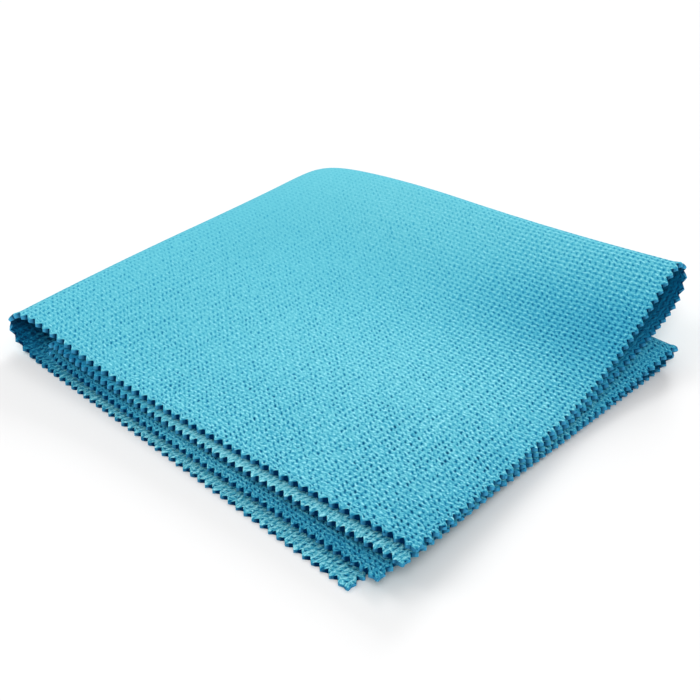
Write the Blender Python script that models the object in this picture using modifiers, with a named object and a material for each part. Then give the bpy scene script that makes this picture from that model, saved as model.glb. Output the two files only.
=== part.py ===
"""A square microfibre cloth with pinked edges, folded in quarters and lying as it was put down.

The cloth is one sheet. Flat, it is a square whose middle is where both folds cross:
    u runs across it, from -HALF to HALF, and the side fold lies along u = 0,
    v runs along it, from -HALF to HALF, and the back fold lies along v = 0.
Folded, it lies in four layers, counted from the top:
    layer 1 has u > 0 and v > 0, layer 2 has u > 0 and v < 0,
    layer 3 has u < 0 and v < 0, layer 4 has u < 0 and v > 0.
Layers 1 and 2, and 3 and 4, meet in the two loops of the back fold. Layers 1 and 4
meet in the outer loop of the side fold, and layers 2 and 3 in its inner loop.
"""

from math import log, pi

import bpy
import numpy as np
from mathutils import Matrix, Vector
from mathutils.geometry import delaunay_2d_cdt

MM = 0.001

# The cloth, before it is folded
CLOTH_SIDE = 300 * MM
HALF = CLOTH_SIDE / 2
THICKNESS = 1.2 * MM
TEETH_PER_SIDE = 95
TOOTH_DEPTH = 1.7 * MM
COLOUR = (0.105, 0.545, 0.694, 1.0)
ROUGHNESS = 0.92

# Where the named points of the sheet lie on the table, in mm: left to right is +X,
# front to back is +Y. Each row is one line of the sheet, and its three columns are
# the points at v = -HALF, 0 and HALF.
PLACES = (
    # lower back half:  layer 3 corner   back loop, right   layer 4 corner
    ((143.4, -4.1), (154.7, 128.0), (139.4, -7.8)),
    # side fold:        inner loop       folded corner      outer loop
    ((9.5, 7.5), (-1.7, 147.2), (-6.6, 9.6)),
    # upper half:       layer 2 corner   back loop, right   layer 1 corner
    ((146.7, -0.4), (146.4, 146.5), (150.5, 3.6)),
)

# How far the middle of each layer's open edges bows out from a straight line, in mm
BOWS = {
    # layer: (right edge, front edge)
    1: (1.2, -1.2),
    2: (0.6, -0.6),
    3: (-1.6, -0.3),
    4: (1.2, 0.1),
}

# Heights of the middle of the cloth's thickness over the table, in mm. Each layer has
# a row along the side fold, one along its lowest line and one along its right edge,
# and each row has its height at the back fold, at its lowest point and in front.
HEIGHTS = {
    # layer: (at the back, lowest, in front)
    1: {"left": (18.5, 18.2, 15.4), "middle": (25.2, 6.6, 9.4), "right": (28.9, 6.5, 10.4)},
    2: {"left": (9.0, 11.4, 10.8), "middle": (12.0, 4.6, 7.0), "right": (15.0, 4.6, 8.0)},
    3: {"left": (5.8, 6.6, 6.9), "middle": (8.0, 2.6, 4.6), "right": (9.6, 2.6, 5.0)},
    4: {"left": (0.6, 0.6, 0.6), "middle": (0.6, 0.6, 0.6), "right": (0.6, 0.6, 0.6)},
}
VALLEY_X = 0.43  # the share of the way from the side fold to the right edge
VALLEY_Y = {  # the share of the way from back to front, layer: (left, middle, right)
    1: (0.45, 0.50, 0.50),
    2: (0.45, 0.50, 0.60),
    3: (0.45, 0.50, 0.45),
    4: (0.45, 0.50, 0.50),
}

# Lines of the modelling grid, in mm from each fold, closest where the cloth turns
SIDE_LINES = (0, 0.8, 1.8, 3.2, 5.2, 8, 12, 18, 27, 39, 54, 71, 89, 108, 127, 140)
BACK_LINES = (0, 2.4, 5, 8, 12, 17, 24, 34, 46, 60, 76, 93, 110, 127, 140)
TURN = 4 * MM  # how quickly one layer's heights give way to the next at a fold


def settle(share, lowest_at, ends_and_lowest):
    """A height along a line: lowest at one share of the way, rising as a square to both ends."""
    start, lowest, end = ends_and_lowest
    before = np.clip((lowest_at - share) / lowest_at, 0, None) ** 2
    after = np.clip((share - lowest_at) / (1 - lowest_at), 0, None) ** 2
    return lowest + (start - lowest) * before + (end - lowest) * after


def layer_heights(across, along):
    """The heights of layers 1 to 4 at a share of the way from the side and the back fold."""
    found = []
    for layer, rows in HEIGHTS.items():
        lines = [settle(along, low, row) for low, row in zip(VALLEY_Y[layer], rows.values())]
        found.append(settle(across, VALLEY_X, lines) * MM)
    return found


def hairpin(length, radius):
    """A fold's section: how far the cloth has come from its tip, and how far it has
    risen from -1 at one layer to 1 at the other, after a length of cloth.

    It is the curve whose two sides run parallel, pi times its tip radius apart.
    """
    turned = np.abs(length) / radius
    away = radius * (turned + np.log1p(np.exp(-2 * turned)) - log(2))
    risen = 4 / pi * np.arctan(np.tanh(length / radius / 2))
    return away / HALF, risen


def either(first, second, side):
    """The first value where side is 1, the second where it is -1, and a blend between."""
    return first * (1 + side) / 2 + second * (1 - side) / 2


def folded(u, v):
    """Where the points of the flat cloth lie when it is folded."""
    z1, z2, z3, z4 = layer_heights(np.abs(u) / HALF, 0 * u)
    along, back = hairpin(v, either(z1 - z2, z3 - z4, np.tanh(u / TURN)) / pi)
    z1, z2, z3, z4 = layer_heights(0 * u, np.abs(v) / HALF)
    outer_radius, inner_radius = (z1 - z4) / pi, (z2 - z3) / pi
    nesting = (z1 - z4 - z2 + z3) / 4 / np.cosh(u / outer_radius)
    outer_across, outer_side = hairpin(u, outer_radius)
    inner_across, inner_side = hairpin(u, inner_radius)
    across = either(outer_across, inner_across, back)
    side = either(outer_side, inner_side, back)

    u_shares = (across * (1 - side) / 2, 1 - across, across * (1 + side) / 2)
    v_shares = (along * (1 - back) / 2, 1 - along, along * (1 + back) / 2)
    x, y = 0 * u, 0 * u
    for u_share, row in zip(u_shares, PLACES):
        for v_share, place in zip(v_shares, row):
            x = x + u_share * v_share * place[0] * MM
            y = y + u_share * v_share * place[1] * MM
    bow_x, bow_y = (
        either(
            either(BOWS[1][k], BOWS[4][k], side), either(BOWS[2][k], BOWS[3][k], side), back
        )
        for k in (0, 1)
    )
    x = x + bow_x * MM * 4 * along * (1 - along) * across - nesting * back
    y = y + bow_y * MM * 4 * across * (1 - across) * along

    z1, z2, z3, z4 = layer_heights(across, along)
    z = either(either(z1, z4, outer_side), either(z2, z3, inner_side), back)
    return np.stack([x, y, z], axis=-1)


def pinked_outline():
    """The flat cloth's outline, a zigzag along each side, anticlockwise from one corner."""
    tooth = CLOTH_SIDE / TEETH_PER_SIDE
    steps = np.arange(2 * TEETH_PER_SIDE)
    along = -HALF + steps * tooth / 2
    out = HALF - TOOTH_DEPTH * (steps % 2)
    side = np.stack([along, -out], axis=-1)
    side[0] = (-HALF + TOOTH_DEPTH / 2, -HALF + TOOTH_DEPTH / 2)
    turns = [np.array(((1, 0), (0, 1))), np.array(((0, 1), (-1, 0)))]
    turns += [-turns[0], -turns[1]]
    return np.concatenate([side @ turn for turn in turns])


def grid_points():
    """The points inside the outline, where the lines of the grid cross."""
    columns = np.array(sorted({sign * line * MM for line in SIDE_LINES for sign in (-1, 1)}))
    rows = np.array(sorted({sign * line * MM for line in BACK_LINES for sign in (-1, 1)}))
    u, v = np.meshgrid(columns, rows)
    return np.stack([u.ravel(), v.ravel()], axis=-1)


def cloth_material():
    material = bpy.data.materials.new("microfibre")
    material.use_nodes = True
    shader = material.node_tree.nodes["Principled BSDF"]
    shader.inputs["Base Color"].default_value = COLOUR
    shader.inputs["Roughness"].default_value = ROUGHNESS
    shader.inputs["Metallic"].default_value = 0.0
    return material


def make_cloth(collection):
    outline, inside = pinked_outline(), grid_points()
    count = len(outline)
    flat = [Vector(point) for point in np.concatenate([outline, inside])]
    edges = [(i, (i + 1) % count) for i in range(count)]
    inside_outline = 1  # keep only the triangles inside the closed outline
    points, _, faces, *_ = delaunay_2d_cdt(flat, edges, [], inside_outline, 1e-7)
    sheet = np.array([tuple(point) for point in points])
    places = folded(sheet[:, 0], sheet[:, 1])

    mesh = bpy.data.meshes.new("cloth")
    mesh.from_pydata(places.tolist(), [], faces)
    mesh.update()
    mesh.shade_smooth()
    cloth = bpy.data.objects.new("cloth", mesh)
    collection.objects.link(cloth)
    cloth.data.materials.append(cloth_material())
    thicken = cloth.modifiers.new("thickness", "SOLIDIFY")
    thicken.thickness = THICKNESS
    thicken.offset = 0

    bpy.context.view_layer.update()
    box = np.array(cloth.bound_box)
    low, high = box.min(axis=0), box.max(axis=0)
    mesh.transform(Matrix.Translation((-(low[0] + high[0]) / 2, -(low[1] + high[1]) / 2, -low[2])))


def main():
    for old in list(bpy.data.objects):
        bpy.data.objects.remove(old, do_unlink=True)
    collection = bpy.data.collections.new("microfibre cloth")
    bpy.context.scene.collection.children.link(collection)
    make_cloth(collection)


main()
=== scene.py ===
from math import log, pi, radians

import bpy
import numpy as np
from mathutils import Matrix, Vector


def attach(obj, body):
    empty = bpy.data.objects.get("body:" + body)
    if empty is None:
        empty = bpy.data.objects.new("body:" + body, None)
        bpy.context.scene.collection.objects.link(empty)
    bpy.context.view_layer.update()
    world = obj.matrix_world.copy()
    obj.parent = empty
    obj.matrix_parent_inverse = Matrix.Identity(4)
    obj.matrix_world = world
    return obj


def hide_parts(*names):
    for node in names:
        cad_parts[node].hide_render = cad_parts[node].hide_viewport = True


# A square microfibre cloth with pinked edges, folded in quarters. Flat, its middle is
# where both folds cross: s counts the stitches across from the side fold and t those
# along from the back fold, and u and v are the same two in mm. Layers from the top: 1 has
# s > 0 and t > 0, 2 has s > 0 and t < 0, 3 has s < 0 and t < 0, 4 has s < 0 and t > 0.
# Sizes are in mm, except the studio's, and the finished meshes are in metres

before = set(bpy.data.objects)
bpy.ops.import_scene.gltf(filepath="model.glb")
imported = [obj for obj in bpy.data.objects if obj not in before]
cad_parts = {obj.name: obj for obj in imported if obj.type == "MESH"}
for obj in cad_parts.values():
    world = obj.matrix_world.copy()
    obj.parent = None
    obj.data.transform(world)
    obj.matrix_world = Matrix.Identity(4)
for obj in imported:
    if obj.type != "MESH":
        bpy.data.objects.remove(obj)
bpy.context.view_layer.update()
print("frame loaded")

mm = 0.001

view = {
    "lens": 60.84,
    "distance": 360.14,
    "pitch": 32.72,  # degrees down
    "azimuth": 39.21,  # degrees from the front towards the right
    "target": (-0.30, 3.83, 0.0),
    "clip": (0.01, 20),  # the nearest and farthest that it sees, in metres
}


# The camera looks down by the pitch and in by the azimuth, and its place is the target
# plus its backward direction times the distance
def makeCamera():
    data = bpy.data.cameras.new("camera")
    data.lens = view["lens"]
    data.clip_start, data.clip_end = view["clip"]
    camera = bpy.data.objects.new("camera", data)
    camera.rotation_euler = (radians(90 - view["pitch"]), 0, radians(view["azimuth"]))
    back = camera.rotation_euler.to_matrix() @ Vector((0, 0, 1))
    camera.location = (Vector(view["target"]) + back * view["distance"]) * mm
    bpy.context.scene.collection.objects.link(camera)
    bpy.context.scene.camera = camera


# sRGB hex to linear: c / 12.92 up to 0.04045, and ((c + 0.055) / 1.055) ^ 2.4 above it
def hexColour(text):
    srgb = np.array([int(text[i : i + 2], 16) / 255 for i in (1, 3, 5)])
    linear = np.where(srgb <= 0.04045, srgb / 12.92, ((srgb + 0.055) / 1.055) ** 2.4)
    return (*linear.tolist(), 1.0)


# A new material with its shader's own values set, its node tree and its shader
def startMaterial(name, values):
    material = bpy.data.materials.new(name)
    material.use_nodes = True
    shader = material.node_tree.nodes["Principled BSDF"]
    for socket, value in values.items():
        shader.inputs[socket].default_value = value
    return material, material.node_tree, shader


studio = {
    "floorColour": "#E7E7E7",
    "floorSide": 6.0,  # in metres, as the lights' places and sides are
    "floorRoughness": 1.0,
    "floorShine": 0.0,
    "world": 0.35,
    "worldColour": "#FFFFFF",
    # name: place, aimed at, side of the square light, watts
    "lights": {
        "key": ((-0.90, 1.20, 2.10), (0, 0, 0), 0.9, 7),
        "low back": ((-1.00, 2.66, 1.20), (0, 0, 0), 1.0, 42),
        "left": ((-1.70, -0.90, 1.70), (0, 0, 0), 1.2, 12),
        "front": ((1.00, -1.30, 1.80), (0, 0, 0), 1.2, 33),
        "overhead": ((-0.10, 0.10, 2.40), (-0.10, 0.10, 0), 3.3, 18),
    },
}


# The floor is a flat square of uncoated white paper: its pulp scatters the light evenly,
# so it has soft shadows and no shine. Round it is a plain white studio
def makeStudio():
    reach = studio["floorSide"] / 2
    corners = [(-reach, -reach, 0), (reach, -reach, 0), (reach, reach, 0), (-reach, reach, 0)]
    mesh = bpy.data.meshes.new("floor")
    mesh.from_pydata(corners, [], [(0, 1, 2, 3)])
    floor = bpy.data.objects.new("floor", mesh)
    bpy.context.scene.collection.objects.link(floor)
    paper, _, _ = startMaterial(
        "uncoated white paper",
        {
            "Base Color": hexColour(studio["floorColour"]),
            "Roughness": studio["floorRoughness"],
            "Specular IOR Level": studio["floorShine"],
        },
    )
    mesh.materials.append(paper)

    world = bpy.data.worlds.new("white studio")
    world.use_nodes = True
    sky = world.node_tree.nodes["Background"].inputs
    sky["Color"].default_value = hexColour(studio["worldColour"])
    sky["Strength"].default_value = studio["world"]
    bpy.context.scene.world = world
    for name, (place, aim, side, watts) in studio["lights"].items():
        data = bpy.data.lights.new(name, "AREA")
        data.size, data.energy = side, watts
        light = bpy.data.objects.new(name, data)
        light.location = place
        direction = Vector(aim) - Vector(place)
        light.rotation_euler = direction.to_track_quat("-Z", "Y").to_euler()
        bpy.context.scene.collection.objects.link(light)
    bpy.context.scene.view_settings.view_transform = "Standard"


makeCamera()
makeStudio()
print("camera, floor and light made")

# How the cloth lies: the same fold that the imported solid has
cloth = {
    "side": 300.0,
    "thickness": 1.2,
    "teethPerSide": 95,
    "toothDepth": 1.4,
    "edgeThickness": 1.9,  # the cut yarn springs up
    "stitches": (164, 178),  # across and along: 1.83 and 1.69 mm apart
    "middle": (71.709, 71.268),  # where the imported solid's own middle was in these places
    # rows: the line v at -side/2, 0 and side/2 of layers 3 and 4, the side fold, 2 and 1
    "places": (
        ((143.4, -4.1), (154.7, 128.0), (139.4, -7.8)),
        ((9.5, 7.5), (-1.7, 147.2), (-6.6, 9.6)),
        ((146.7, -0.4), (146.4, 146.5), (150.5, 3.6)),
    ),
    # layer: how far its right and its front edge bow outwards
    "bows": {1: (1.2, -1.2), 2: (0.6, -0.6), 3: (-1.6, -0.3), 4: (1.2, 0.1)},
    # layer: heights at the back, lowest and in front, along the left, lowest and right line
    "heights": {
        1: ((18.5, 18.2, 15.4), (25.2, 6.6, 9.4), (28.9, 6.5, 10.4)),
        2: ((9.0, 11.4, 10.8), (12.0, 4.6, 7.0), (15.0, 4.6, 8.0)),
        3: ((5.8, 6.6, 6.9), (8.0, 2.6, 4.6), (9.6, 2.6, 5.0)),
        4: ((0.6, 0.6, 0.6), (0.6, 0.6, 0.6), (0.6, 0.6, 0.6)),
    },
    "valleyX": 0.43,  # the lowest line's share of the way from the side fold
    "valleyY": {  # the lowest point's share of the way from the back, on the same three lines
        1: (0.45, 0.50, 0.50),
        2: (0.45, 0.50, 0.60),
        3: (0.45, 0.50, 0.45),
        4: (0.45, 0.50, 0.50),
    },
    "turn": 4.0,  # how quickly one layer's heights give way to the next at a fold
}
half = cloth["side"] / 2
pitch = [cloth["side"] / count for count in cloth["stitches"]]
lastStitch = [count / 2 for count in cloth["stitches"]]


# A height is lowest at one share of the way, and rises as a square to both ends
def settle(share, lowestAt, heights):
    start, lowest, end = heights
    before = np.clip((lowestAt - share) / lowestAt, 0, None) ** 2
    after = np.clip((share - lowestAt) / (1 - lowestAt), 0, None) ** 2
    return lowest + (start - lowest) * before + (end - lowest) * after


# The four layers' heights at a share of the way across and along: each settles along its
# three lines, and then between the lines
def layerHeights(across, along):
    found = []
    for layer, rows in cloth["heights"].items():
        lines = [settle(along, low, row) for low, row in zip(cloth["valleyY"][layer], rows)]
        found.append(settle(across, cloth["valleyX"], lines))
    return found


# A fold's section: two sides pi radii apart. Away from the tip is radius * log(cosh(x)),
# and the rise from -1 to 1 is 4 / pi * atan(tanh(x / 2)), where x is length / radius
def hairpin(length, radius):
    turned = np.abs(length) / radius
    away = radius * (turned + np.log1p(np.exp(-2 * turned)) - log(2))
    return away / half, 4 / pi * np.arctan(np.tanh(length / radius / 2))


# The first value where side is 1, the second where it is -1, and their mix between
def either(first, second, side):
    return first * (1 + side) / 2 + second * (1 - side) / 2


# Places of the flat cloth's points (u, v) when folded: a bilinear net of nine named
# places, the edges' bows, and the four layers' heights joined by the folds' sections. At
# the side fold the outer loop moves out and the inner one in, each by a quarter of how
# much higher the outer one is, and by less away from the fold, as 1 / cosh(u / radius)
def foldCloth(u, v):
    z1, z2, z3, z4 = layerHeights(np.abs(u) / half, 0 * u)
    along, back = hairpin(v, either(z1 - z2, z3 - z4, np.tanh(u / cloth["turn"])) / pi)
    z1, z2, z3, z4 = layerHeights(0 * u, np.abs(v) / half)
    outerRadius, innerRadius = (z1 - z4) / pi, (z2 - z3) / pi
    nesting = (z1 - z4 - z2 + z3) / 4 / np.cosh(u / outerRadius)
    outerAcross, outerSide = hairpin(u, outerRadius)
    innerAcross, innerSide = hairpin(u, innerRadius)
    across = either(outerAcross, innerAcross, back)
    side = either(outerSide, innerSide, back)

    uShares = (across * (1 - side) / 2, 1 - across, across * (1 + side) / 2)
    vShares = (along * (1 - back) / 2, 1 - along, along * (1 + back) / 2)
    x, y = 0 * u, 0 * u
    for uShare, row in zip(uShares, cloth["places"]):
        for vShare, place in zip(vShares, row):
            x = x + uShare * vShare * place[0]
            y = y + uShare * vShare * place[1]
    bows = cloth["bows"]
    bowX, bowY = (
        either(either(bows[1][k], bows[4][k], side), either(bows[2][k], bows[3][k], side), back)
        for k in (0, 1)
    )
    x = x + bowX * 4 * along * (1 - along) * across - nesting * back
    y = y + bowY * 4 * across * (1 - across) * along
    z1, z2, z3, z4 = layerHeights(across, along)
    z = either(either(z1, z4, outerSide), either(z2, z3, innerSide), back)
    return np.stack([x - cloth["middle"][0], y - cloth["middle"][1], z], axis=-1)


# The knit: stitches in rows, each with a slanting pit, and a zigzag cut edge
knit = {
    "pitDepth": 0.42,
    "rowDepth": 0.10,
    "pitLong": 0.43,  # half a pit's length, as a share of a stitch: 0.8 mm
    "pitShort": 0.145,  # and half its width: 0.26 mm
    "pitTurn": 57.0,  # degrees from the rows
    "deepestPit": 0.3,  # as a share of the cloth's thickness there
    "pits": (0.70, 0.26),  # their usual strength, and how much it differs
    "pitRange": (0.05, 1.35),
    "pitTable": 256,  # stitches before the same pits come again
    "noiseTable": 64,
    "noiseShift": (7.31, 3.77),  # how far apart two noises are in the same table
    # slow changes of the pits' strength: the usual, then how many stitches apart the
    # changes are, 16 mm and 5 mm, and how strong
    "usual": 0.95,
    "wideChange": (9, 0.14),
    "narrowChange": (3, 0.12),
    "evenPit": 0.5,  # the pits come nearer to this where the rows stand out
    "evenShare": 0.55,  # and by this much of the way
    "wander": 0.17,  # how far a stitch is from its place, as a share of a stitch
    "wanderSpacing": 2.3,  # stitches, 4 mm
    "closed": 0.07,  # how open the knit is where the folds cross
    "open": 1.06,  # and at the far corner
    "openShares": (0.55, 0.45),  # how much the way across opens it, and the way along
    "openPower": 1.4,
    "lowerOpen": ((60, 16), (66, 16)),  # across and along: from which stitch, over how many
    "lowerShare": 0.75,
    "rowsAcross": (30, 34),  # the rows stand out from which stitch, over how many
    "rowsAlong": (62, 36),  # and fade out before which stitch, over how many
    "foldFade": 4,  # stitches from a fold to the full change beyond it
    "edgeReach": 4.0,  # how far from a cut edge it springs up
    "bluntTip": 0.1,  # the share of a tooth's width that is cut flat, and of a notch's
    "cornerFade": 0.9,  # how far the zigzag fades at a corner of the cloth
    "cornerCut": 0.15,  # and how far the corner is cut back, as a share of a tooth's depth
    "tipRound": 0.42,  # how much thinner the cut cloth is at a tooth's tip than in a notch
    "tipLean": 1.3,  # how far the light sees a tip's faces turned outwards
    "backShare": 0.28,  # how much weaker the stitches are on the back of the knit
    "slopeStep": 0.05,  # how far to each side the fold's slopes are measured
    "floorGap": 0.008,  # the least height over the floor
    "seed": 7,
}
dice = np.random.default_rng(knit["seed"])
noiseTable = dice.random((knit["noiseTable"], knit["noiseTable"])) * 2 - 1
pitTable = dice.normal(*knit["pits"], (knit["pitTable"], knit["pitTable"]))
pitTable = np.clip(pitTable, *knit["pitRange"])


# A step from 0 to 1 that starts and ends level: 3x^2 - 2x^3
def smoothStep(x):
    x = np.clip(x, 0, 1)
    return x * x * (3 - 2 * x)


# Smooth noise from -1 to 1: random values on a square grid, mixed by level steps between
def softNoise(x, y, shift):
    x, y = x + shift * knit["noiseShift"][0], y + shift * knit["noiseShift"][1]
    column, row = np.floor(x).astype(int), np.floor(y).astype(int)
    fx, fy = smoothStep(x - column), smoothStep(y - row)
    size = knit["noiseTable"]
    at = lambda c, r: noiseTable[(column + c) % size, (row + r) % size]
    low = at(0, 0) * (1 - fx) + at(1, 0) * fx
    high = at(0, 1) * (1 - fx) + at(1, 1) * fx
    return low * (1 - fy) + high * fy


# How much the rows stand out, from 0 to 1: on the top, towards the right and the back. It
# is the product of a step up across, a step down along and a short step at the back fold
def rowed(s, t):
    (begins, across), (ends, along) = knit["rowsAcross"], knit["rowsAlong"]
    standing = smoothStep((s - begins) / across) * smoothStep((ends - t) / along)
    return standing * smoothStep(t / knit["foldFade"])


# How strong each stitch's pit is: its own random share, drawn towards the even pit where
# the rows stand out, times two slow changes over the cloth
def pitStrength(s, t):
    size = knit["pitTable"]
    own = pitTable[np.rint(s).astype(int) % size, np.rint(t).astype(int) % size]
    slow = knit["usual"]
    for shift, (spacing, share) in enumerate((knit["wideChange"], knit["narrowChange"]), 1):
        slow = slow + share * softNoise(s / spacing, t / spacing, shift)
    return (own + (knit["evenPit"] - own) * knit["evenShare"] * rowed(s, t)) * slow


# How open the knit is: it lies close and smooth at the two folds, and opens towards the
# cut edges as q^1.4, where q is the share of the way from where the folds cross. The two
# lower layers are open all along their cut edges
def openness(s, t):
    q, byEdge = 0, 0
    for k, length in enumerate((np.abs(s), np.abs(t))):
        begins, over = knit["lowerOpen"][k]
        q = q + knit["openShares"][k] * length / lastStitch[k]
        byEdge = np.maximum(byEdge, smoothStep((length - begins) / over))
    q = q + (1 - q) * knit["lowerShare"] * byEdge * smoothStep(-s / knit["foldFade"])
    return knit["closed"] + (knit["open"] - knit["closed"]) * q ** knit["openPower"]


# Depth below the yarn's top: one pit a stitch, exp(-r^2) of its slanting oval, and a
# groove, the square of a cosine wave from 0 to 1, a row on the front and a column behind
def stitchDepth(s, t, strength, opened, side):
    ds, dt = s - np.rint(s), t - np.rint(t)
    turn = radians(knit["pitTurn"])
    along = (ds * np.cos(turn) + dt * np.sin(turn)) / knit["pitLong"]
    across = (dt * np.cos(turn) - ds * np.sin(turn)) / knit["pitShort"]
    pit = np.exp(-(along**2) - across**2)
    groove = (0.5 + 0.5 * np.cos(2 * pi * (t if side > 0 else s))) ** 2
    return knit["pitDepth"] * strength * pit + knit["rowDepth"] * opened * groove


# The flat place of stitch (s, t): it wanders a little, and at a cut edge the columns shift
# to the nearest tooth corner and the last rows draw back to the zigzag. Also how near the
# cut edge it is, and on the edge how far into a notch, from 0 to 1
def flatPlace(s, t, samples):
    reach, blunt, spacing = knit["edgeReach"], knit["bluntTip"], knit["wanderSpacing"]
    tooth = cloth["side"] / cloth["teethPerSide"] / 2
    corners = np.arange(cloth["teethPerSide"] + 1) * tooth
    nearEdge, onEdge, notch, shift, size = [], [], [], [], []
    for k, length in enumerate((np.abs(s), np.abs(t))):
        nearest = np.rint(corners / pitch[k] * samples[k]) / samples[k]
        moved = np.interp(length, nearest, corners)
        zigzag = np.abs(1 - (moved / tooth) % 2)
        zigzag = np.clip((zigzag - blunt) / (1 - 2 * blunt), 0, 1)
        atCorner = smoothStep((moved - half + 2 * tooth) / tooth)
        zigzag = zigzag * (1 - knit["cornerFade"] * atCorner) + knit["cornerCut"] * atCorner
        notch.append(zigzag)
        size.append(length * pitch[k])
        shift.append(moved - size[k])
        nearEdge.append(smoothStep((size[k] - half + reach) / reach))
        onEdge.append(length >= lastStitch[k])
    calm = (1 - nearEdge[0]) * (1 - nearEdge[1]) * knit["wander"]
    flat = []
    for k, length in enumerate((s, t)):
        cutBack = cloth["toothDepth"] * notch[1 - k] * nearEdge[k] ** 2
        place = np.sign(length) * (size[k] + shift[k] * nearEdge[1 - k] - cutBack)
        strays = calm * softNoise(s / spacing, t / spacing, 3 + k) * np.tanh(length**2)
        flat.append(place + strays * pitch[k])
    intoNotch = np.where(onEdge[0], notch[1], np.where(onEdge[1], notch[0], 1))
    return *flat, np.maximum(*nearEdge), intoNotch


# Soft troughs and ridges of the top layer, placed on the flat cloth: middle u and v, direction
# in degrees from u, length, width, height
creases = {
    "centre trough": (78, 84, -62, 60, 13, -0.45),
    "left ridge": (38, 92, -70, 50, 12, 0.8),
    "front ridge": (100, 118, -35, 42, 9, 0.5),
    "right trough": (118, 52, -50, 40, 11, -0.5),
    "back ripple": (60, 26, 8, 46, 9, 0.7),
    "left ripple": (20, 60, 84, 40, 8, 0.5),
}
creaseFade = 12.0  # how far from the folds they reach their height

# Painted light and shade: patches of deeper and paler tone that stand in for how the light
# falls on the top's slopes, for shade inside the loops, on the third layer and under the
# layers' edges, and for light on the strips below those edges, in the same form as the creases,
# and as a change of tone, on the cloth's front and back
paintedShadePatches = {
    # painted light and shade on the front: deeper or paler where the top's slopes turn from the
    # light, and painted shade on the third layer
    "front": {
        "deeper at the right back": (150, 38, 0, 46, 20, -0.17),
        "paler in the middle": (92, 90, 0, 60, 30, 0.04),
        "paler at the back left": (50, 20, 0, 60, 26, 0.02),
        "paler along the back": (48, 12, 0, 70, 20, 0.02),
        "deeper at the front corner": (152, 146, -45, 40, 22, -0.07),
        "deeper along the right": (150, 90, 90, 60, 14, -0.06),
        "deeper at the third layer's front": (-130, -146, 0, 50, 9, -0.26),
        "deeper at the third layer's back": (-145, -20, 0, 40, 50, -0.22),
        "deep in the inner loop": (-18, -150, 0, 40, 30, -0.30),
    },
    "back": {
        # painted shade on the back inside the loops, and painted light on the strips below the
        # layers' front edges
        "deep in the upper loop": (150, 4, 0, 45, 62, -0.62),
        "deep in the lower loop": (-150, 0, 0, 45, 62, -0.60),
        "deep in the side loop": (12, 150, 0, 28, 40, -0.86),
        "deep around the inner loop": (10, -150, 0, 36, 40, -0.42),
        "paler at the second layer's front": (75, -146, 0, 60, 8, 0.13),
        "paler at the bottom layer's front": (-75, 146, 0, 60, 8, 0.05),
    },
}


# The sum of a table's patches, each its amount times exp(-r^2) of its turned oval
def softPatches(table, u, v):
    total = 0 * u
    for middleU, middleV, degrees, length, width, amount in table.values():
        turn = radians(degrees)
        du, dv = u - middleU, v - middleV
        along = (du * np.cos(turn) + dv * np.sin(turn)) / length
        across = (dv * np.cos(turn) - du * np.sin(turn)) / width
        total = total + amount * np.exp(-(along**2) - across**2)
    return total


# The folded cloth, with the creases added to the heights of its top layer
def drapedCloth(u, v):
    points = foldCloth(u, v)
    top = smoothStep(u / creaseFade) * smoothStep(v / creaseFade)
    points[..., 2] += top * softPatches(creases, u, v)
    return points


# Each vector divided by its length
def unit(vectors):
    return vectors / np.linalg.norm(vectors, axis=-1, keepdims=True)


# The cut ends of the yarn, with painted shade in the notches and towards the front corner, and
# painted light where the knit is close and along the right
cutEnds = {
    "colours": ("#419CC6", "#00274C"),  # at a tooth's tip, and in a notch, whose dark is painted shade
    "notchPaintedShade": 1.3,  # painted shade: how much deeper the ends look in a notch than at a tip
    "closePaintedLight": -0.50,  # and painted light: how much paler where the knit is close, and along the right
    "rightPaintedLight": -0.42,
    "openRange": (0.40, 0.75),  # how open the knit is where that starts to fade, and ends
    "endSize": 0.3326,  # how far apart the bundles of fibres are
    "endShare": 0.9,  # how much they differ in depth of colour
    "endShade": 0.20,  # and how much of that is taken off again
    "roughness": 1.0,
    "shine": 0.0,
}


# How deep the cut ends' colour is, as painted shade: a share for the place along the edge,
# paler where the knit is close and along the right, and more by how far into a notch it is
def paintedCutShade(s, opened, intoNotch):
    closest, most = cutEnds["openRange"]
    closeKnit = 1 - np.clip((opened - closest) / (most - closest), 0, 1)
    onRight = np.abs(s) >= lastStitch[0]
    place = np.where(onRight, cutEnds["rightPaintedLight"], cutEnds["closePaintedLight"] * closeKnit)
    return place + cutEnds["notchPaintedShade"] * intoNotch - cutEnds["endShade"]


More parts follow.
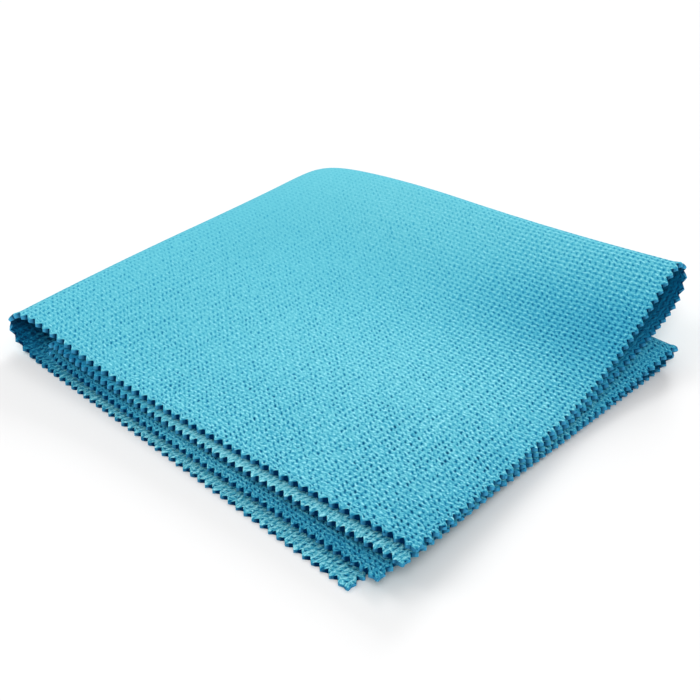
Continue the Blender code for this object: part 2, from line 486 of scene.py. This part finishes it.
# The front and back of a panel, over the grid (s, t): half the thickness either side of
# the fold, less the stitches' depth. A normal is the fold's own, plus the stitches' slopes
# along it, plus a lean outwards at a tooth's tip. Also the values that the materials read
def panelFaces(s, t, samples):
    u, v, nearEdge, intoNotch = flatPlace(s, t, samples)
    tip = (1 - intoNotch) * knit["tipRound"]
    thickness = cloth["thickness"] + (cloth["edgeThickness"] - cloth["thickness"]) * nearEdge
    thickness = thickness * (1 - tip)
    step = knit["slopeStep"]
    centre = drapedCloth(u, v)
    alongU = unit(drapedCloth(u + step, v) - drapedCloth(u - step, v))
    alongV = unit(drapedCloth(u, v + step) - drapedCloth(u, v - step))
    faceNormal = unit(np.cross(alongV, alongU))
    outwards = 0
    for length, last, along in zip((s, t), lastStitch, (alongU, alongV)):
        outwards = outwards + along * (np.sign(length) * (np.abs(length) >= last))[..., None]

    opened = openness(s, t)
    strength = pitStrength(s, t) * opened
    e = 0.5 / max(samples)  # half of the grid's smallest step, in stitches
    points, normals = [], []
    backShare = 1 - knit["backShare"]
    for side, share in ((1, 1.0), (-1, backShare)):
        depth = stitchDepth(s, t, strength, opened, side) * share
        near = [
            stitchDepth(s + ds, t + dt, strength, opened, side) * share
            for ds, dt in ((e, 0), (-e, 0), (0, e), (0, -e))
        ]
        slopeS, slopeT = near[0] - near[1], near[2] - near[3]
        depth = np.minimum(depth, thickness * knit["deepestPit"])
        outward = faceNormal * side
        points.append(centre + outward * (thickness / 2 - depth)[..., None])
        lean = alongU * (slopeS / pitch[0])[..., None] + alongV * (slopeT / pitch[1])[..., None]
        lean = lean / (2 * e) + outwards * (tip * knit["tipLean"])[..., None]
        normals.append(unit(outward + lean))
    points = np.concatenate([p.reshape(-1, 3) for p in points])
    points[:, 2] = np.maximum(points[:, 2], knit["floorGap"])
    normals = np.concatenate([n.reshape(-1, 3) for n in normals])

    paintedCutTone = paintedCutShade(s, opened, intoNotch)
    values = {
        "pitStrength": (strength, strength * backShare),
        "openness": (opened, opened),
        "rowed": (rowed(s, t), 0 * s),
        # painted light and shade, as a change of tone
        "paintedLightAndShade": (softPatches(paintedShadePatches["front"], u, v), softPatches(paintedShadePatches["back"], u, v)),
        # painted shade of the cut ends
        "paintedCutTone": (paintedCutTone, paintedCutTone),
        "isBack": (0 * s, 0 * s + 1),
    }
    return points * mm, normals, values


# The faces of a closed panel of two grids: the front's squares, the back's, numbered on
# from the front and turned round, and walls between their borders
def panelQuads(rows, columns):
    index = np.arange(rows * columns).reshape(rows, columns)
    squares = [index[:-1, :-1], index[:-1, 1:], index[1:, 1:], index[1:, :-1]]
    front = np.stack(squares, axis=-1).reshape(-1, 4)
    back = front[:, ::-1] + rows * columns
    ring = np.concatenate([index[0, :-1], index[:-1, -1], index[-1, :0:-1], index[:0:-1, 0]])
    following = np.roll(ring, -1)
    walls = [following, ring, ring + rows * columns, following + rows * columns]
    return np.concatenate([front, back, np.stack(walls, axis=-1)]), len(ring)


# A panel of the cloth as a closed mesh over a grid of samples a stitch, with its normals,
# a map of its stitches, and its values for the materials. A wall's normal is the cross
# product of two of its sides, and one of no area still gets a direction
def makePanel(name, sRange, tRange, samples):
    s = np.arange(sRange[0] * samples[0], sRange[1] * samples[0] + 1) / samples[0]
    t = np.arange(tRange[0] * samples[1], tRange[1] * samples[1] + 1) / samples[1]
    s, t = np.meshgrid(s, t, indexing="ij")
    points, normals, values = panelFaces(s, t, samples)
    faces, wallCount = panelQuads(*s.shape)
    isWall = np.arange(len(faces)) >= len(faces) - wallCount

    mesh = bpy.data.meshes.new(name)
    mesh.vertices.add(len(points))
    mesh.vertices.foreach_set("co", points.astype(np.float32).ravel())
    mesh.loops.add(faces.size)
    mesh.loops.foreach_set("vertex_index", faces.astype(np.int32).ravel())
    mesh.polygons.add(len(faces))
    mesh.polygons.foreach_set("loop_start", np.arange(0, faces.size, 4, dtype=np.int32))
    mesh.polygons.foreach_set("material_index", isWall.astype(np.int32))
    mesh.update(calc_edges=True)
    mesh.polygons.foreach_set("use_smooth", ~isWall)

    stitchMap = mesh.uv_layers.new(name="stitches")
    twice = np.concatenate([np.stack([s, t], axis=-1).reshape(-1, 2)] * 2)
    stitchMap.data.foreach_set("uv", twice[faces.ravel()].astype(np.float32).ravel())
    for label, (front, back) in values.items():
        both = np.concatenate([front.ravel(), back.ravel()])
        found = mesh.attributes.new(label, "FLOAT", "POINT")
        found.data.foreach_set("value", both.astype(np.float32))
    cornerNormals = normals[faces.ravel()].reshape(-1, 4, 3)
    a, b, c = (points[faces[isWall, k]] for k in (0, 1, 2))
    cornerNormals[isWall] = unit(np.cross(b - a, c - a) + 1e-15)[:, None]
    mesh.normals_split_custom_set(cornerNormals.reshape(-1, 3).tolist())

    panel = bpy.data.objects.new(name, mesh)
    bpy.context.scene.collection.objects.link(panel)
    return panel


# Adds a node, sets its own settings and its sockets' values, and links sources to its
# sockets. A source is a socket, or a node, which stands for its first output
def addNode(tree, kind, settings=None, links=None):
    node = tree.nodes.new("ShaderNode" + kind)
    for name, value in (settings or {}).items():
        if isinstance(name, int) or name in node.inputs:
            node.inputs[name].default_value = value
        else:
            setattr(node, name, value)
    for name, source in (links or {}).items():
        socket = source.outputs[0] if hasattr(source, "outputs") else source
        tree.links.new(socket, node.inputs[name])
    return node


finish = {
    # dyed yarn, from the deepest pit, in painted shade, to its top: place in the ramp and
    # colour
    "yarn": {0.0: "#00385C", 0.30: "#046791", 0.62: "#379AB8", 0.80: "#60BBCB", 1.0: "#96DFEB"},
    "level": 0.775,  # the yarn's usual place between those colours
    "pitShare": 0.82,  # how far each of these moves it, the pit and the grooves down into painted shade
    "grooveShare": 0.07,
    "rowShare": 0.09,
    "columnShare": 0.06,
    "fibreShare": 2.1,
    # Tufts of fibres, across and along the cloth. A real fibre is 0.01 mm thick and too
    # fine to show, so they are drawn as coarse as they need to show
    "frontTuft": (1.0760, 0.4682),
    "backTuft": (0.5380, 1.5322),
    "tuftTurn": -50,  # degrees that the tufts' noise is turned away from the stitches
    "tuftDetail": 3.0,
    "tuftRoughness": 0.75,
    "bendSize": 1.076,  # how far apart the stitches' bends are
    "bendShare": 0.42,  # how far they bend, as a share of a stitch
    "roughness": 0.92,
    "shine": 0.04,
    "sheen": 0.07,
    "sheenRoughness": 0.6,
    "sheenColour": "#9FEBF8",
    "bumpStrength": 0.6,
    "bumpHeight": 0.3,
}


# Split polyester microfibre, dyed and knitted in fine rows: its countless thin fibres scatter
# the light, so it is matte with a faint pale sheen, tufted along the rows on the front and
# along the columns behind, and darker in the slanting pit of each stitch and in the grooves
# between the rows, which is painted shade on the knit's own pattern
def makeKnit():
    material, tree, shader = startMaterial(
        "knitted polyester microfibre",
        {
            "Roughness": finish["roughness"],
            "Specular IOR Level": finish["shine"],
            "Sheen Weight": finish["sheen"],
            "Sheen Roughness": finish["sheenRoughness"],
            "Sheen Tint": hexColour(finish["sheenColour"]),
        },
    )
    stitch = addNode(tree, "UVMap", {"uv_map": "stitches"})
    strength, opened, rows, paintedLightAndShade, isBack = (
        addNode(tree, "Attribute", {"attribute_name": name}).outputs["Fac"]
        for name in ("pitStrength", "openness", "rowed", "paintedLightAndShade", "isBack")
    )

    # each stitch is bent a little by its neighbours: noise, less its middle, as a shift
    bend = addNode(
        tree,
        "TexNoise",
        {"Scale": pitch[0] / finish["bendSize"], "Detail": 1.0},
        {"Vector": stitch},
    ).outputs["Color"]
    middle = (0.5, 0.5, 0.5)
    bend = addNode(tree, "VectorMath", {"operation": "SUBTRACT", 1: middle}, {0: bend})
    bend = addNode(
        tree, "VectorMath", {"operation": "SCALE", "Scale": finish["bendShare"]}, {0: bend}
    )
    bent = addNode(tree, "VectorMath", {"operation": "ADD"}, {0: stitch, 1: bend})

    # the same slanting pits as in the mesh: exp(-r^2), where r is 1 at the pit's rim. Their
    # darkening of the colour is painted shade
    local = addNode(
        tree, "VectorMath", {"operation": "WRAP", 1: middle, 2: (-0.5, -0.5, -0.5)}, {0: bent}
    )
    turned = addNode(
        tree,
        "Mapping",
        {
            "vector_type": "TEXTURE",
            "Rotation": (0, 0, radians(knit["pitTurn"])),
            "Scale": (knit["pitLong"], knit["pitShort"], 1.0),
        },
        {"Vector": local},
    )
    square = addNode(
        tree, "VectorMath", {"operation": "DOT_PRODUCT"}, {0: turned, 1: turned}
    ).outputs["Value"]
    fall = addNode(tree, "Math", {"operation": "MULTIPLY", 1: -1.0}, {0: square})
    pit = addNode(tree, "Math", {"operation": "EXPONENT"}, {0: fall})
    pit = addNode(tree, "Math", {"operation": "MULTIPLY"}, {0: pit, 1: strength})

    # ridges along s on the front and along t behind, as cos(2 pi t) and cos(2 pi s), and weaker
    # ones across those on the front, where the rows stand out. Their grooves are darkened with
    # painted shade
    apart = addNode(tree, "SeparateXYZ", {}, {0: bent})
    s, t = apart.outputs["X"], apart.outputs["Y"]
    ridge = addNode(
        tree, "Mix", {"data_type": "FLOAT"}, {"Factor": isBack, "A": t, "B": s}
    ).outputs["Result"]
    ridges, columns = (
        addNode(
            tree,
            "Math",
            {"operation": "COSINE"},
            {0: addNode(tree, "Math", {"operation": "MULTIPLY", 1: 2 * pi}, {0: place})},
        )
        for place in (ridge, s)
    )
    grooves = addNode(
        tree,
        "Math",
        {"operation": "MULTIPLY_ADD", 1: -finish["rowShare"], 2: -finish["grooveShare"]},
        {0: rows},
    )
    ridges = addNode(tree, "Math", {"operation": "MULTIPLY"}, {0: ridges, 1: grooves})
    columns = addNode(
        tree, "Math", {"operation": "MULTIPLY", 1: -finish["columnShare"]}, {0: columns}
    )

    # tufts of fibres, drawn along the rows on the front and along the columns behind
    drawn = addNode(
        tree,
        "Mix",
        {
            "data_type": "VECTOR",
            "A": (*(p / size for p, size in zip(pitch, finish["frontTuft"])), 1.0),
            "B": (*(p / size for p, size in zip(pitch, finish["backTuft"])), 1.0),
        },
        {"Factor": isBack},
    ).outputs["Result"]
    tuftPlace = addNode(
        tree,
        "Mapping",
        {"Rotation": (0, 0, radians(finish["tuftTurn"]))},
        {"Vector": stitch, "Scale": drawn},
    )
    tufts = addNode(
        tree,
        "TexNoise",
        {"Scale": 1.0, "Detail": finish["tuftDetail"], "Roughness": finish["tuftRoughness"]},
        {"Vector": tuftPlace},
    )
    tufts = addNode(tree, "Math", {"operation": "SUBTRACT", 1: 0.5}, {0: tufts})

    # tone and height are one: ridges, columns and tufts, by how open the knit is, about the
    # usual level, plus the patches' painted light and shade, less the pit, whose darkness is
    # painted shade
    tone = addNode(
        tree, "Math", {"operation": "MULTIPLY_ADD"}, {0: columns, 1: rows, 2: ridges}
    )
    tone = addNode(
        tree,
        "Math",
        {"operation": "MULTIPLY_ADD", 1: finish["fibreShare"]},
        {0: tufts, 2: tone},
    )
    tone = addNode(
        tree, "Math", {"operation": "MULTIPLY_ADD", 2: finish["level"]}, {0: tone, 1: opened}
    )
    # plus the patches' painted light and shade
    tone = addNode(tree, "Math", {"operation": "ADD"}, {0: tone, 1: paintedLightAndShade})
    tone = addNode(
        tree,
        "Math",
        {"operation": "MULTIPLY_ADD", 1: -finish["pitShare"], "use_clamp": True},
        {0: pit, 2: tone},
    )
    ramp = addNode(tree, "ValToRGB", {}, {0: tone})
    stops = ramp.color_ramp.elements
    while len(stops) < len(finish["yarn"]):
        stops.new(0.5)
    for stop, (place, colour) in zip(stops, finish["yarn"].items()):
        stop.position, stop.color = place, hexColour(colour)
    tree.links.new(ramp.outputs["Color"], shader.inputs["Base Color"])
    bump = addNode(
        tree,
        "Bump",
        {"Strength": finish["bumpStrength"], "Distance": finish["bumpHeight"] * mm},
        {"Height": tone},
    )
    tree.links.new(bump.outputs["Normal"], shader.inputs["Normal"])
    return material


# The same yarn cut through with shears: dull, and with painted shade that makes it darker than
# the faces, most of all in the notches and towards the front corner
def makeCutEdge():
    material, tree, shader = startMaterial(
        "cut microfibre yarn ends",
        {"Roughness": cutEnds["roughness"], "Specular IOR Level": cutEnds["shine"]},
    )
    stitch = addNode(tree, "UVMap", {"uv_map": "stitches"})
    ends = addNode(
        tree,
        "TexNoise",
        {"Scale": pitch[0] / cutEnds["endSize"], "Detail": 2.0},
        {"Vector": stitch},
    )
    # the cut ends' painted shade, from the mesh
    paintedCutTone = addNode(tree, "Attribute", {"attribute_name": "paintedCutTone"}).outputs["Fac"]
    shade = addNode(
        tree,
        "Math",
        {"operation": "MULTIPLY_ADD", 1: cutEnds["endShare"], "use_clamp": True},
        {0: ends, 2: paintedCutTone},
    )
    # from the tip's colour to the notch's painted shade
    tip, notch = (hexColour(colour) for colour in cutEnds["colours"])
    tone = addNode(tree, "Mix", {"data_type": "RGBA", "A": tip, "B": notch}, {"Factor": shade})
    tree.links.new(tone.outputs["Result"], shader.inputs["Base Color"])
    return material


# name: stitches from the side fold, stitches from the back fold, samples a stitch
panels = {
    "clothTopLeft": ((0, 41), (0, 89), (4, 3)),
    "clothTopRight": ((41, 82), (0, 89), (4, 3)),
    "clothSecondLeft": ((0, 41), (-89, 0), (4, 2)),
    "clothSecondRight": ((41, 82), (-89, 0), (4, 2)),
    "clothThird": ((-82, 0), (-89, 0), (2, 2)),
    "clothBottom": ((-82, 0), (0, 89), (2, 3)),
}
knitMaterial, cutMaterial = makeKnit(), makeCutEdge()
print("materials made")
for name, (sRange, tRange, samples) in panels.items():
    panel = makePanel(name, sRange, tRange, samples)
    panel.data.materials.append(knitMaterial)
    panel.data.materials.append(cutMaterial)
    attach(panel, "root")
    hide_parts("cloth")
    print(name, "made,", 2 * len(panel.data.polygons), "triangles")
